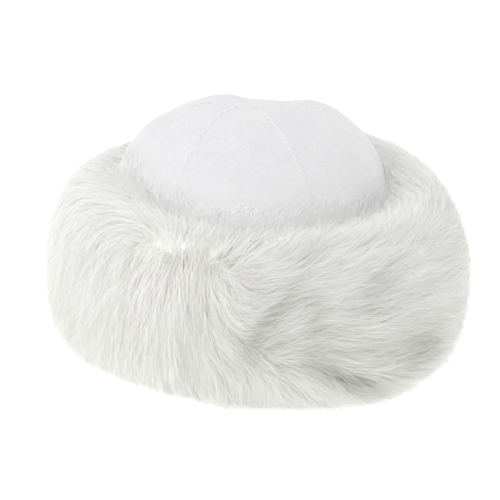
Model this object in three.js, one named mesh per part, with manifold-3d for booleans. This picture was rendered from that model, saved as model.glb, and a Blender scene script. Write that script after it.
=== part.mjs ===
// A winter hat: a low dome of six sewn gores over an open head hollow, and a deep fur cuff folded up
// all round.
// Millimetres, +Z up. The front faces -Y, +X is the viewer's right, and the hat rests on the plane z = 0.
// An azimuth is counted in degrees from the front towards +X.

import * as THREE from "three";
import { mergeVertices } from "three/addons/utils/BufferGeometryUtils.js";
import Module from "manifold-3d";

const wasm = await Module();
wasm.setup();

// Driving sizes
const CLOTH = 2; // wall of the crown's brushed cloth
const GAP = 0.3; // clearance between neighbouring pieces
const HEAD_HALF_WIDTH = 87; // head opening, half its size along X, inside the cloth
const HEAD_HALF_DEPTH = 96; // head opening, half its size along Y, inside the cloth
const SHOULDER_Z = 106; // where the crown's upright side turns over into its dome
const DOME_RISE = 70; // from the shoulder up to the top
const DOME_FULLNESS = 2.1; // exponent of the dome's profile: 2 is an ellipse, more is squarer
const APEX_SHIFT = { x: -4, y: 8.5 }; // the seams' meeting point, off the head's centre line
const APEX_RADIUS = 0.7; // where the gores' points stop short of each other
const HEM_LIP = 2.5; // cloth of the cuff turned in under the gores' lower edges

// Gores
const GORES = 6;
const FIRST_SEAM = -35.5; // azimuth of the first seam
const PUFF = 2; // how far a gore swells out between its seams
const PUFF_FULLNESS = 0.8; // less than 1 keeps the swell broad and its seams narrow
const CELLS_ACROSS = 8;
const DOME_ROWS = 12;
const SIDE_ROWS = 3;

// Soft dents and humps of the crown, raised along Z over a round patch
const DENTS = [
  { place: "left hump", x: -15, y: 36, spread: 14, rise: 9 },
  { place: "right hump", x: 31, y: 20, spread: 22, rise: 5 },
  { place: "dip behind the apex", x: 0, y: 37, spread: 25, rise: -17 },
  { place: "full left shoulder", x: -86, y: 0, spread: 17, rise: 12 },
];

// Fur cuff: how far it reaches out, the heights of its widest line, of its crest and of its lap on the
// crown, and how far its underside lifts off the floor
const FUR = [
  { azimuth: 0, reach: 144, belly: 50, crest: 118, lap: 112, lift: 6 },
  { azimuth: 30, reach: 151, belly: 48, crest: 115, lap: 110, lift: 4 },
  { azimuth: 60, reach: 144, belly: 51, crest: 111, lap: 105, lift: 0 },
  { azimuth: 90, reach: 140, belly: 53, crest: 111, lap: 102, lift: 0 },
  { azimuth: 120, reach: 140, belly: 54, crest: 118, lap: 108, lift: 0 },
  { azimuth: 150, reach: 141, belly: 55, crest: 121, lap: 112, lift: 0 },
  { azimuth: 180, reach: 142, belly: 55, crest: 120, lap: 112, lift: 0 },
  { azimuth: 210, reach: 143, belly: 54, crest: 118, lap: 110, lift: 0 },
  { azimuth: 240, reach: 143, belly: 52, crest: 119, lap: 114, lift: 0 },
  { azimuth: 270, reach: 140, belly: 48, crest: 122, lap: 122, lift: 1 },
  { azimuth: 300, reach: 138, belly: 47, crest: 122, lap: 117, lift: 7 },
  { azimuth: 330, reach: 137, belly: 50, crest: 120, lap: 112, lift: 9 },
];
const FUR_CORE = 108; // radius about which the fur's section is rounded
const FUR_FOOT = 103; // outer edge of the flat that the rim rests on
const UPPER_FULLNESS = 2.2; // exponents of the rounded section above and below the widest line
const LOWER_FULLNESS = 2.45;
const FUR_SECTORS = 36;
const SECTION_ROWS = 4; // steps of each rounded quarter of the section

// Which way the fur is combed on its crest, its face and its skirt, in degrees: 0 is towards +azimuth
// and 90 is up
const COMB = [
  { azimuth: 0, crest: 58, face: -30, skirt: -58 },
  { azimuth: 30, crest: 36, face: 14, skirt: -24 },
  { azimuth: 60, crest: 28, face: 12, skirt: -14 },
  { azimuth: 90, crest: 36, face: 4, skirt: -26 },
  { azimuth: 120, crest: 46, face: -6, skirt: -38 },
  { azimuth: 150, crest: 54, face: -16, skirt: -48 },
  { azimuth: 180, crest: 60, face: -28, skirt: -56 },
  { azimuth: 210, crest: 68, face: -42, skirt: -64 },
  { azimuth: 240, crest: 78, face: -60, skirt: -76 },
  { azimuth: 270, crest: 86, face: -82, skirt: -90 },
  { azimuth: 300, crest: 86, face: -96, skirt: -98 },
  { azimuth: 330, crest: 74, face: -84, skirt: -88 },
];

// Locks, in rounds from the crown down to the floor. A level runs from 2 at the crown, through 1 at the
// crest and 0 at the widest line, to -1 at the underside.
const LOCKS = [
  { round: "lap", count: 15, level: 1.02, length: 38, width: 24, lift: 4 },
  { round: "crest", count: 18, level: 0.72, length: 50, width: 27, lift: 6 },
  { round: "upper face", count: 18, level: 0.45, length: 62, width: 29, lift: 7 },
  { round: "lower face", count: 18, level: 0.12, length: 62, width: 29, lift: 7 },
  { round: "skirt", count: 17, level: -0.25, length: 54, width: 27, lift: 6 },
];
const LOCK_ROOT = -5; // height of a lock's root against the fur's face
const LOCK_EDGE = -1.5; // height of a lock's two edges
const LOCK_STEPS = 4;
const LEVEL_LENGTH = 70; // length of one unit of level along the fur's face
const HIGHEST_LEVEL = 1.6; // where locks that lean on the crown end
const SIZE_SCATTER = 0.18; // spread of a lock's size, as a share
const LEVEL_SCATTER = 0.07;
const COMB_SCATTER = 12; // spread of a lock's direction, in degrees
const SEED = 11;

const SUEDE = { name: "suede", color: 0xe6e6e9, roughness: 0.95, metalness: 0 };
const FUR_PILE = { name: "fur", color: 0xeaeae6, roughness: 1, metalness: 0 };

const radians = THREE.MathUtils.degToRad;
const degrees = THREE.MathUtils.radToDeg;
const { clamp, lerp } = THREE.MathUtils;

// A point at an azimuth, a radius and a height.
function polar(azimuth, radius, z) {
  return new THREE.Vector3(radius * Math.sin(radians(azimuth)), -radius * Math.cos(radians(azimuth)), z);
}

// A table's column at any azimuth, by a closed Catmull-Rom curve through its evenly spaced rows.
function around(table, column, azimuth) {
  const place = THREE.MathUtils.euclideanModulo(azimuth / 360, 1) * table.length;
  const row = Math.floor(place);
  const [a, b, c, d] = [-1, 0, 1, 2].map((k) => table[(row + k + table.length) % table.length][column]);
  const f = place - row;
  const square = 2 * a - 5 * b + 4 * c - d;
  const cube = 3 * b - a - 3 * c + d;
  return b + 0.5 * ((c - a) * f + square * f ** 2 + cube * f ** 3);
}

// Radius at an azimuth of the head opening's oval, grown by an allowance.
function headRadius(azimuth, allowance) {
  const across = Math.sin(radians(azimuth)) / (HEAD_HALF_WIDTH + allowance);
  const along = Math.cos(radians(azimuth)) / (HEAD_HALF_DEPTH + allowance);
  return 1 / Math.hypot(across, along);
}

// Height that the crown's dents add at a place.
function dentRise({ x, y }) {
  const away = (dent) => Math.hypot(x - dent.x, y - dent.y) / dent.spread;
  return DENTS.reduce((sum, dent) => sum + dent.rise * Math.exp(-(away(dent) ** 2) / 2), 0);
}

// A point of the crown. The turn runs from 0 at the apex to 90 at the shoulder, the drop from 0 there to
// 1 at the hem, and the offset moves the point out of the cloth's outer face.
function crownPoint(azimuth, { turn, drop }, offset, hemZ) {
  const sin = Math.sin(radians(turn));
  const cos = Math.max(Math.cos(radians(turn)), 0);
  const out = sin ** (2 / DOME_FULLNESS);
  const swell = Math.abs(Math.sin(radians(((azimuth - FIRST_SEAM) * GORES) / 2))) ** PUFF_FULLNESS;
  const radius = headRadius(azimuth, CLOTH) * out + PUFF * swell * sin ** PUFF_FULLNESS * (1 - drop);
  const point = polar(azimuth, radius, SHOULDER_Z + DOME_RISE * cos ** (2 / DOME_FULLNESS));
  point.x += APEX_SHIFT.x * (1 - out ** 2);
  point.y += APEX_SHIFT.y * (1 - out ** 2);
  point.z += dentRise(point);
  point.z = lerp(point.z, hemZ, drop);
  return point.addScaledVector(polar(azimuth, sin, cos), offset);
}

// Radius of the crown's side at a turn, across the hat.
function ringRadius(turn) {
  return headRadius(90, CLOTH) * Math.sin(radians(turn)) ** (2 / DOME_FULLNESS);
}

// The crown's rows from the apex to the hem.
function crownRows() {
  const firstTurn = degrees(Math.asin((APEX_RADIUS / headRadius(90, CLOTH)) ** (DOME_FULLNESS / 2)));
  const dome = (row) => ({ turn: lerp(firstTurn, 90, row / DOME_ROWS), drop: 0 });
  const side = (row) => ({ turn: 90, drop: row / SIDE_ROWS });
  return [
    ...Array.from({ length: DOME_ROWS }, (_, row) => dome(row)),
    ...Array.from({ length: SIDE_ROWS + 1 }, (_, row) => side(row)),
  ];
}

// Geometry from points and triangles.
function geometryOf(points, triangles) {
  const geometry = new THREE.BufferGeometry();
  const coordinates = points.flatMap((point) => point.toArray());
  geometry.setAttribute("position", new THREE.Float32BufferAttribute(coordinates, 3));
  geometry.setIndex(triangles.flat());
  return geometry;
}

// Two triangles of a cell whose corners run a, b, c, d round it.
function cell(a, b, c, d) {
  return [
    [a, b, c],
    [a, c, d],
  ];
}

// Triangles of a grid whose vertex numbers at(row, column) gives.
function gridCells(rows, columns, at) {
  const triangles = [];
  for (let row = 0; row < rows; row++)
    for (let column = 0; column < columns; column++) {
      const [here, below] = [at(row, column), at(row + 1, column)];
      triangles.push(...cell(here, below, at(row + 1, column + 1), at(row, column + 1)));
    }
  return triangles;
}

// One gore: an outer and an inner grid of the same cells, closed round their border.
function goreGeometry(index) {
  const rows = crownRows();
  const start = FIRST_SEAM + (360 / GORES) * index;
  const points = [0, -CLOTH].flatMap((offset) =>
    rows.flatMap((row) => {
      const seamGap = degrees(GAP / 2 / ringRadius(row.turn));
      const span = 360 / GORES - 2 * seamGap;
      const azimuth = (column) => start + seamGap + (span * column) / CELLS_ACROSS;
      return Array.from({ length: CELLS_ACROSS + 1 }, (_, column) =>
        crownPoint(azimuth(column), row, offset, HEM_LIP + GAP),
      );
    }),
  );
  const last = rows.length - 1;
  const at = (layer, row, column) => (layer * rows.length + row) * (CELLS_ACROSS + 1) + column;
  return geometryOf(points, [
    ...gridCells(last, CELLS_ACROSS, (row, column) => at(0, row, column)),
    ...gridCells(last, CELLS_ACROSS, (row, column) => at(1, row, CELLS_ACROSS - column)),
    ...gridCells(1, CELLS_ACROSS, (layer, column) => at(1 - layer, 0, column)),
    ...gridCells(1, CELLS_ACROSS, (layer, column) => at(layer, last, column)),
    ...gridCells(last, 1, (row, layer) => at(1 - layer, row, 0)),
    ...gridCells(last, 1, (row, layer) => at(layer, row, CELLS_ACROSS)),
  ]);
}

// A closed stack of rings, each a list of points round the axis, with a fan over each end.
function ringStack(rings) {
  const sum = (ring) => ring.reduce((total, point) => total.add(point), new THREE.Vector3());
  const centre = (ring) => sum(ring).divideScalar(ring.length);
  const last = rings.length - 1;
  const count = rings[0].length;
  const [top, bottom] = [rings.flat().length, rings.flat().length + 1];
  const at = (ring, k) => ring * count + (k % count);
  const fans = Array.from({ length: count }, (_, k) => [
    [top, at(0, k), at(0, k + 1)],
    [bottom, at(last, k + 1), at(last, k)],
  ]).flat();
  const points = [...rings.flat(), centre(rings[0]), centre(rings[last])];
  return geometryOf(points, [...gridCells(last, count, at), ...fans]);
}

// The space that the gores take up with their clearance, from the apex down to the lip under their hems.
function crownSpace() {
  const sectors = GORES * CELLS_ACROSS;
  const azimuth = (k) => FIRST_SEAM + (360 * k) / sectors;
  const ring = (row) =>
    Array.from({ length: sectors }, (_, k) => crownPoint(azimuth(k), row, GAP, HEM_LIP));
  return ringStack(crownRows().map(ring));
}

// A point of the fur's face: a rounded section below the widest line, another above it, and above the crest a
// quarter that rolls in to the crown.
function faceOfFur(azimuth, level) {
  const [reach, belly, crest] = ["reach", "belly", "crest"].map((column) => around(FUR, column, azimuth));
  const turn = (Math.PI / 2) * (level > 1 ? level - 1 : Math.abs(level));
  const [sin, cos] = [Math.sin(turn), Math.max(Math.cos(turn), 0)];
  if (level > 1) {
    const lap = around(FUR, "lap", azimuth);
    return polar(azimuth, lerp(FUR_CORE, headRadius(azimuth, 0), sin), lerp(lap, crest, cos));
  }
  const end = level > 0 ? crest : around(FUR, "lift", azimuth);
  const power = 2 / (level > 0 ? UPPER_FULLNESS : LOWER_FULLNESS);
  return polar(azimuth, lerp(FUR_CORE, reach, cos ** power), lerp(belly, end, sin ** power));
}

// A point off the fur's face, moved out along its normal.
function overFur(azimuth, level, offset) {
  const step = 0.03;
  const along = faceOfFur(azimuth + 1, level).sub(faceOfFur(azimuth - 1, level));
  const rise = faceOfFur(azimuth, level + step).sub(faceOfFur(azimuth, Math.max(level - step, -1)));
  return faceOfFur(azimuth, level).addScaledVector(along.cross(rise).normalize(), offset);
}

// The fur's ring, from its lap on the crown down its backing and lip, out over its foot and round its face.
function furRing() {
  const levels = Array.from({ length: 3 * SECTION_ROWS }, (_, i) => i / SECTION_ROWS - 1);
  const section = (azimuth) => [
    polar(azimuth, headRadius(azimuth, 0), around(FUR, "lap", azimuth)),
    polar(azimuth, headRadius(azimuth, 0), HEM_LIP),
    polar(azimuth, headRadius(azimuth, 0), 0),
    polar(azimuth, FUR_FOOT, 0),
    ...levels.map((level) => faceOfFur(azimuth, level)),
  ];
  const sections = Array.from({ length: FUR_SECTORS }, (_, k) => section((360 * k) / FUR_SECTORS));
  const count = sections[0].length;
  const at = (sector, k) => (sector % FUR_SECTORS) * count + (k % count);
  return geometryOf(sections.flat(), gridCells(FUR_SECTORS, count, at));
}

// The comb's direction at a place of the fur, which turns from the face's to the crest's or the skirt's.
function combAt(azimuth, level) {
  const face = around(COMB, "face", azimuth);
  const toCrest = clamp((level - 0.5) / 0.3, 0, 1);
  const toSkirt = clamp((0.2 - level) / 0.5, 0, 1);
  return lerp(lerp(face, around(COMB, "crest", azimuth), toCrest), around(COMB, "skirt", azimuth), toSkirt);
}

// One lock: a ridge that rises from its root in the fur, follows the comb and tapers to a tip.
function lockGeometry(lock) {
  const rings = [];
  let { azimuth, level } = lock;
  for (let i = 0; i <= LOCK_STEPS; i++) {
    const share = i / LOCK_STEPS;
    const comb = radians(combAt(azimuth, level) + lock.turn);
    const root = faceOfFur(azimuth, level);
    const moved = (distance, direction) => [
      azimuth + degrees((distance * Math.cos(direction)) / Math.hypot(root.x, root.y)),
      clamp(level + (distance * Math.sin(direction)) / LEVEL_LENGTH, -1, HIGHEST_LEVEL),
    ];
    const half = (lock.width / 2) * (0.12 + Math.sin(Math.PI * (0.2 + 0.8 * share)));
    const ridge = lerp(LOCK_ROOT, lock.lift, Math.min(1, 2.6 * share));
    const edge = Math.min(ridge - 2, LOCK_EDGE + 0.7 * lock.lift * share ** 2);
    rings.push([
      overFur(...moved(half, comb + Math.PI / 2), edge),
      overFur(...moved(half, comb - Math.PI / 2), edge),
      overFur(azimuth, level, ridge),
    ]);
    [azimuth, level] = moved(lock.length / LOCK_STEPS, comb);
  }
  return ringStack(rings);
}

// Repeatable numbers from -1 to 1.
function scatter(seed) {
  let state = seed;
  return () => {
    state = (state * 16807) % 2147483647;
    return (2 * state) / 2147483647 - 1;
  };
}

// Every lock of every round, spread round the cuff with a little scatter.
function allLocks() {
  const random = scatter(SEED);
  return LOCKS.flatMap((round, order) =>
    Array.from({ length: round.count }, (_, k) => ({
      azimuth: (360 * (k + 0.5 * (order % 2) + 0.25 * random())) / round.count,
      level: round.level + LEVEL_SCATTER * random(),
      turn: COMB_SCATTER * random(),
      length: round.length * (1 + SIZE_SCATTER * random()),
      width: round.width * (1 + SIZE_SCATTER * random()),
      lift: round.lift,
    })),
  );
}

// A closed solid for joining and cutting.
function solidOf(geometry) {
  const bare = geometry.clone();
  ["normal", "uv"].forEach((name) => bare.deleteAttribute(name));
  const merged = mergeVertices(bare, 1e-4);
  return new wasm.Manifold(
    new wasm.Mesh({
      numProp: 3,
      vertProperties: merged.attributes.position.array,
      triVerts: new Uint32Array(merged.index.array),
    }),
  );
}

// The largest closed skin of a solid, without the pockets that locks close in between them.
function outerSkin(solid) {
  return solid.decompose().reduce((best, body) => (body.volume() > best.volume() ? body : best));
}

// Fur cuff: the ring with its locks fused on, cut clear of the crown and level with the floor.
function furCuffGeometry() {
  const locks = allLocks().map((lock) => solidOf(lockGeometry(lock)));
  const fur = locks.reduce((joined, lock) => joined.add(lock), solidOf(furRing()));
  const floor = new THREE.BoxGeometry(500, 500, 50).translate(0, 0, -25);
  const cut = fur.subtract(solidOf(crownSpace())).subtract(solidOf(floor));
  const { vertProperties, triVerts } = outerSkin(cut).getMesh();
  const geometry = new THREE.BufferGeometry();
  geometry.setAttribute("position", new THREE.Float32BufferAttribute(vertProperties, 3));
  geometry.setIndex(new THREE.Uint32BufferAttribute(triVerts, 1));
  return geometry;
}

// A named piece in its finish.
function piece(name, geometry, finish) {
  geometry.computeVertexNormals();
  const mesh = new THREE.Mesh(geometry, new THREE.MeshStandardMaterial(finish));
  mesh.name = name;
  return mesh;
}

const crown = new THREE.Group();
for (let index = 0; index < GORES; index++) {
  crown.add(piece(`crown_gore_${index + 1}`, goreGeometry(index), SUEDE));
}

const hat = new THREE.Group();
hat.add(crown, piece("fur_cuff", furCuffGeometry(), FUR_PILE));

export default hat;
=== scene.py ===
"""The looks of a white winter hat: a low crown of six gores inside a deep fur cuff, folded up all round.

The frame's own axes are kept: metres, +Z up, the front towards -Y, +X to the viewer's right, and the hat at
rest on z = 0. An azimuth is counted in degrees from the front towards +X. A level runs over the fur's outer
form: -1 at the underside, 0 at the widest line, 1 at the crest, and 2 where the last hairs lie on the crown.
"""

import logging
import math
from collections.abc import Callable
from dataclasses import dataclass, field
from enum import Enum

import bpy
import numpy as np
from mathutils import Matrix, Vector


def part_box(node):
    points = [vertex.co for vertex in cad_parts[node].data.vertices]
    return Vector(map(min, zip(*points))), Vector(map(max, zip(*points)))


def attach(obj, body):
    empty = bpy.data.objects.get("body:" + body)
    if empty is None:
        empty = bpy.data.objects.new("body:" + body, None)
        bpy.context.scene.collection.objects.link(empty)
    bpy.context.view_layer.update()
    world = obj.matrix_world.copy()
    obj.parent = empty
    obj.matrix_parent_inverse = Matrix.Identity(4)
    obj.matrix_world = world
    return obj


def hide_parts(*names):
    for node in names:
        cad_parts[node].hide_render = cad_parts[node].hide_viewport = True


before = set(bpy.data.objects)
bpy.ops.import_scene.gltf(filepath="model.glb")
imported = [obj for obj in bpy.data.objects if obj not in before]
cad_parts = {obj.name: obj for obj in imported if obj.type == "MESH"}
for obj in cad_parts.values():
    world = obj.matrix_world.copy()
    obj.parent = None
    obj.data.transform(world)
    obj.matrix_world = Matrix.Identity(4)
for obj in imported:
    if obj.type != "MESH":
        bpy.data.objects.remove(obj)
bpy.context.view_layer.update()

logging.basicConfig(level=logging.INFO, format="%(message)s")
log = logging.getLogger("hat")

MM = 0.001

# Millimetres over the fur's face along a degree of azimuth, and along a unit of level
DEGREE_MM = 2.44
LEVEL_MM = 75.0

Colour = tuple[float, float, float]
# Pairs of a level and a value
Profile = tuple[tuple[float, float], ...]


class Slot(Enum):
    """The record's material slots."""

    CROWN = "crown_cloth"
    FUR = "fur"


class Layer(Enum):
    """The layers of the pile, from the short dense one to the last loose hairs."""

    UNDERCOAT = "undercoat"
    PILE = "pile"
    LOOSE = "loose"


def polar(azimuth: np.ndarray, radius: np.ndarray, height: np.ndarray) -> np.ndarray:
    """Points at azimuths, radii and heights: (r sin a, -r cos a, z)."""
    turn = np.radians(azimuth)
    return np.stack(np.broadcast_arrays(radius * np.sin(turn), -radius * np.cos(turn), height), -1)


def around(column: np.ndarray, azimuth: np.ndarray) -> np.ndarray:
    """A column at any azimuth, by a closed Catmull-Rom curve through its evenly spaced rows.

    Args:
        column: One value a row, the first at azimuth 0.
        azimuth: Degrees from the front.

    Returns:
        b + ((c - a) f + (2a - 5b + 4c - d) f^2 + (3b - a - 3c + d) f^3) / 2, where a to d are the rows round
        the place and f is the share of the way from b to c.
    """
    place = np.mod(np.asarray(azimuth, float) / 360, 1) * len(column)
    row = np.floor(place).astype(int)
    a, b, c, d = (column[(row + k) % len(column)] for k in (-1, 0, 1, 2))
    f = place - row
    return b + 0.5 * ((c - a) * f + (2 * a - 5 * b + 4 * c - d) * f**2 + (3 * b - a - 3 * c + d) * f**3)


def from_front(azimuth: np.ndarray) -> np.ndarray:
    """Azimuths counted from -180 to 180."""
    return np.mod(azimuth + 180, 360) - 180


def at_level(profile: Profile, level: np.ndarray) -> np.ndarray:
    """A profile's value at levels, in straight lines between its pairs."""
    places, values = zip(*profile)
    return np.interp(level, places, values)


def unit(vectors: np.ndarray) -> np.ndarray:
    """Vectors at length 1."""
    return vectors / np.maximum(np.linalg.norm(vectors, axis=-1, keepdims=True), 1e-9)


def smooth_step(value: np.ndarray, low: float, high: float) -> np.ndarray:
    """0 below low, 1 above high, and 3t^2 - 2t^3 in between."""
    t = np.clip((value - low) / (high - low), 0, 1)
    return t * t * (3 - 2 * t)


def make_mesh(
    name: str, points: np.ndarray, faces: list[np.ndarray], smooth: bool = True
) -> bpy.types.Object:
    """An object from whole arrays.

    Args:
        name: The piece's name.
        points: (n, 3) places in the row frame.
        faces: Arrays of vertex numbers, one array for each number of corners, such as (m, 4) and (k, 3).
        smooth: Whether the faces are shaded smooth.

    Returns:
        The object, linked to the scene.
    """
    mesh = bpy.data.meshes.new(name)
    corners = np.concatenate([f.ravel() for f in faces]).astype(np.int32)
    counts = np.concatenate([np.full(len(f), f.shape[1], np.int32) for f in faces])
    mesh.vertices.add(len(points))
    mesh.vertices.foreach_set("co", np.asarray(points, np.float32).ravel())
    mesh.loops.add(len(corners))
    mesh.loops.foreach_set("vertex_index", corners)
    mesh.polygons.add(len(counts))
    mesh.polygons.foreach_set("loop_start", np.concatenate([[0], np.cumsum(counts)[:-1]]).astype(np.int32))
    mesh.polygons.foreach_set("use_smooth", np.full(len(counts), smooth))
    mesh.update(calc_edges=True)
    mesh.validate()
    made = bpy.data.objects.new(name, mesh)
    bpy.context.scene.collection.objects.link(made)
    return made


def grid_faces(rows: int, columns: int, at: Callable[[np.ndarray, np.ndarray], np.ndarray]) -> np.ndarray:
    """Quads of a grid of rows by columns cells, whose vertex numbers at(row, column) gives as arrays."""
    row, column = (x.ravel() for x in np.meshgrid(np.arange(rows), np.arange(columns), indexing="ij"))
    return np.stack([at(row, column), at(row + 1, column), at(row + 1, column + 1), at(row, column + 1)], 1)


class NodeBench:
    """A short way to lay out a material's nodes."""

    # The colour mixing node's sockets, by number, because other kinds of data share their names
    MIX_SHARE, MIX_FIRST, MIX_SECOND, MIX_RESULT = 0, 6, 7, 2

    def __init__(self, name: str) -> None:
        """Starts a material with a Principled shader on its output."""
        self.material = bpy.data.materials.new(name)
        self.material.use_nodes = True
        self.tree = self.material.node_tree
        self.shader = self.tree.nodes["Principled BSDF"]

    def add(self, kind: str, **settings: object) -> bpy.types.Node:
        """A node of this kind, with its properties, and its inputs where the name is one of theirs."""
        node = self.tree.nodes.new(kind)
        for key, value in settings.items():
            if hasattr(node, key):
                setattr(node, key, value)
            else:
                node.inputs[key.replace("_", " ")].default_value = value
        return node

    def link(self, source: bpy.types.NodeSocket, target: bpy.types.NodeSocket) -> None:
        """Joins an output to an input."""
        self.tree.links.new(source, target)

    def sets(self, **values: object) -> None:
        """Sets the shader's own sockets."""
        for key, value in values.items():
            self.shader.inputs[key.replace("_", " ")].default_value = value

    def object_place(self) -> bpy.types.NodeSocket:
        """The Object coordinates."""
        return self.add("ShaderNodeTexCoord").outputs["Object"]

    def noise(
        self, place: bpy.types.NodeSocket, scale: float, detail: float, roughness: float
    ) -> bpy.types.NodeSocket:
        """A noise from 0 to 1 at a scale in cells a metre."""
        node = self.add("ShaderNodeTexNoise", Scale=scale, Detail=detail, Roughness=roughness)
        self.link(place, node.inputs["Vector"])
        return node.outputs["Fac"]

    def ramp(
        self, value: bpy.types.NodeSocket, stops: list[tuple[float, Colour]]
    ) -> bpy.types.NodeSocket:
        """A colour ramp with these stops over a value."""
        node = self.add("ShaderNodeValToRGB")
        while len(node.color_ramp.elements) < len(stops):
            node.color_ramp.elements.new(0.5)
        for element, (place, colour) in zip(node.color_ramp.elements, stops):
            element.position = place
            element.color = (*colour, 1)
        self.link(value, node.inputs["Fac"])
        return node.outputs["Color"]

    def blend(
        self, kind: str, share: float, first: bpy.types.NodeSocket, second: bpy.types.NodeSocket
    ) -> bpy.types.NodeSocket:
        """Two colours mixed in a named way, by a share."""
        node = self.add("ShaderNodeMix", data_type="RGBA", blend_type=kind)
        node.inputs[self.MIX_SHARE].default_value = share
        self.link(first, node.inputs[self.MIX_FIRST])
        self.link(second, node.inputs[self.MIX_SECOND])
        return node.outputs[self.MIX_RESULT]

    def lets_through(self, colour: bpy.types.NodeSocket, share: float) -> None:
        """Mixes a share of light from behind into the surface."""
        glow = self.add("ShaderNodeBsdfTranslucent")
        mix = self.add("ShaderNodeMixShader", Fac=share)
        self.link(colour, glow.inputs["Color"])
        self.link(self.shader.outputs["BSDF"], mix.inputs[1])
        self.link(glow.outputs["BSDF"], mix.inputs[2])
        self.link(mix.outputs["Shader"], self.tree.nodes["Material Output"].inputs["Surface"])

    def bump(self, heights: list[tuple[bpy.types.NodeSocket, float]]) -> None:
        """Bumps on the shader, one after another, each a height and its depth in metres."""
        normal = None
        for height, depth in heights:
            node = self.add("ShaderNodeBump", Strength=1.0, Distance=depth)
            self.link(height, node.inputs["Height"])
            if normal is not None:
                self.link(normal, node.inputs["Normal"])
            normal = node.outputs["Normal"]
        self.link(normal, self.shader.inputs["Normal"])


@dataclass(frozen=True)
class BrushedCloth:
    """The crown's white brushed cloth: a short suede-like nap with faint finger marks in it."""

    light: Colour = (0.633, 0.633, 0.643)
    shade: Colour = (0.60, 0.60, 0.61)
    marks_scale: float = 38.0
    nap_scale: float = 420.0
    fibre_scale: float = 1500.0

    def material(self) -> bpy.types.Material:
        """Mottled nap colour, with bumps of its marks, its nap and its fibres."""
        bench = NodeBench("brushed_cloth")
        place = bench.object_place()
        marks = bench.noise(place, self.marks_scale, 3.0, 0.55)
        nap = bench.noise(place, self.nap_scale, 4.0, 0.6)
        fibres = bench.noise(place, self.fibre_scale, 2.0, 0.5)
        base = bench.ramp(marks, [(0.32, self.shade), (0.66, self.light)])
        grain = bench.ramp(nap, [(0.3, (0.93, 0.93, 0.93)), (0.7, (1.0, 1.0, 1.0))])
        bench.link(bench.blend("MULTIPLY", 1.0, base, grain), bench.shader.inputs["Base Color"])
        bench.sets(Roughness=0.92, Sheen_Weight=0.35, Sheen_Roughness=0.45, Specular_IOR_Level=0.15)
        bench.bump([(marks, 0.0012), (nap, 0.00035), (fibres, 0.00012)])
        return bench.material


@dataclass(frozen=True)
class SewingThread:
    """The seams' matt white thread, with its twist."""

    colour: Colour = (0.86, 0.86, 0.87)
    twist_scale: float = 2600.0

    def material(self) -> bpy.types.Material:
        """A plain thread colour broken by fine twist."""
        bench = NodeBench("sewing_thread")
        twist = bench.noise(bench.object_place(), self.twist_scale, 2.0, 0.5)
        dark = tuple(0.9 * c for c in self.colour)
        bench.link(bench.ramp(twist, [(0.35, dark), (0.65, self.colour)]), bench.shader.inputs["Base Color"])
        bench.sets(Roughness=0.7, Specular_IOR_Level=0.3)
        bench.bump([(twist, 0.0001)])
        return bench.material


@dataclass(frozen=True)
class FurHair:
    """The pile's hair. Its map holds a tint across, from deep grey to cool white, that carries painted shade
    and painted light, and root to tip upwards.
    """

    cool: Colour = (0.96, 0.958, 0.955)
    warm: Colour = (0.937, 0.936, 0.919)
    # The grey that painted shade in the hollows and low down draws the tint towards
    deep: Colour = (0.68, 0.68, 0.65)
    root: Colour = (0.93, 0.93, 0.91)
    through: float = 0.38
    map_name: str = "OFBake"

    def material(self) -> bpy.types.Material:
        """Tint by the map's first coordinate, darker at the root by its second, with light from behind."""
        bench = NodeBench("fur_hair")
        spots = bench.add("ShaderNodeUVMap", uv_map=self.map_name)
        parts = bench.add("ShaderNodeSeparateXYZ")
        bench.link(spots.outputs["UV"], parts.inputs["Vector"])
        tint = bench.ramp(parts.outputs["X"], [(0.0, self.deep), (0.35, self.warm), (1.0, self.cool)])
        white = (1.0, 1.0, 1.0)
        growth = bench.ramp(parts.outputs["Y"], [(0.0, self.root), (0.5, white), (1.0, white)])
        colour = bench.blend("MULTIPLY", 1.0, tint, growth)
        bench.link(colour, bench.shader.inputs["Base Color"])
        bench.sets(Roughness=0.75, Specular_IOR_Level=0.2, Sheen_Weight=0.15, Sheen_Roughness=0.5)
        bench.lets_through(colour, self.through)
        return bench.material


@dataclass(frozen=True)
class FurGround:
    """The dense soft underhair between the longer hairs, coloured greyer than the hairs as painted shade deep
    in the pile.
    """

    # Both greyer than the hair's white: painted shade deep in the pile
    light: Colour = (0.81, 0.81, 0.80)
    deep: Colour = (0.74, 0.74, 0.73)
    fluff_scale: float = 260.0

    def material(self) -> bpy.types.Material:
        """Fine noise in colour and bump."""
        bench = NodeBench("fur_ground")
        fluff = bench.noise(bench.object_place(), self.fluff_scale, 5.0, 0.65)
        colour = bench.ramp(fluff, [(0.3, self.deep), (0.7, self.light)])
        bench.link(colour, bench.shader.inputs["Base Color"])
        bench.sets(Roughness=0.95, Specular_IOR_Level=0.1, Sheen_Weight=0.2)
        bench.bump([(fluff, 0.0006)])
        return bench.material


@dataclass(frozen=True)
class HeadOval:
    """The head opening's oval, inside the cloth."""

    half_width: float = 0.087
    half_depth: float = 0.096

    def radius(self, azimuth: np.ndarray, allowance: float) -> np.ndarray:
        """The oval's radius at azimuths, grown by an allowance: 1 / hypot(sin a / w, cos a / d)."""
        turn = np.radians(azimuth)
        across = np.sin(turn) / (self.half_width + allowance)
        along = np.cos(turn) / (self.half_depth + allowance)
        return 1 / np.hypot(across, along)


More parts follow.
